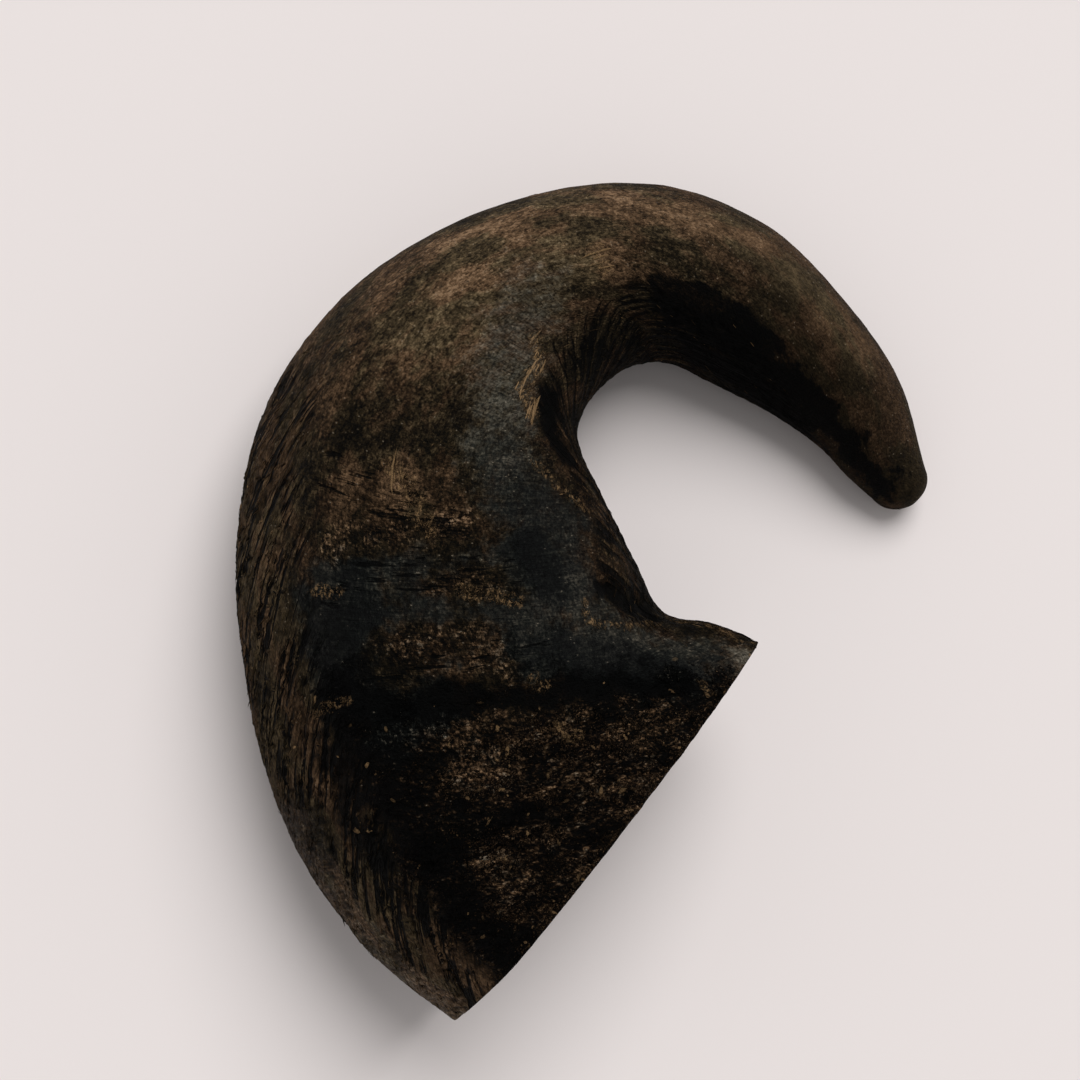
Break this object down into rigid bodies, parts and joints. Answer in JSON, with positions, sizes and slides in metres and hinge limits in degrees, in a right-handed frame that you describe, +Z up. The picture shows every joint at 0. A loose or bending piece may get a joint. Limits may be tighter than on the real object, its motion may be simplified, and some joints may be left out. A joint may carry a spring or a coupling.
{
  "type": "buffalo horn",
  "caption": "Tightly curled water buffalo horn with a blunt tip, sawn off flat and hollow at its base, lying on its side.",
  "frame": {"origin": "on the surface the horn lies on, under the middle of its bounding box", "axes": "+Z up from the surface; -Y out of the flat saw cut at the base; +X across the curl from the base to the tip's side"},
  "size_m": [0.1594, 0.1122, 0.0523],
  "materials": {
    "horn": "rough fibrous keratin, black brown with tan flakes and a worn blue grey band"
  },
  "bodies": {
    "root": {"horn": "horn"}
  },
  "joints": []
}
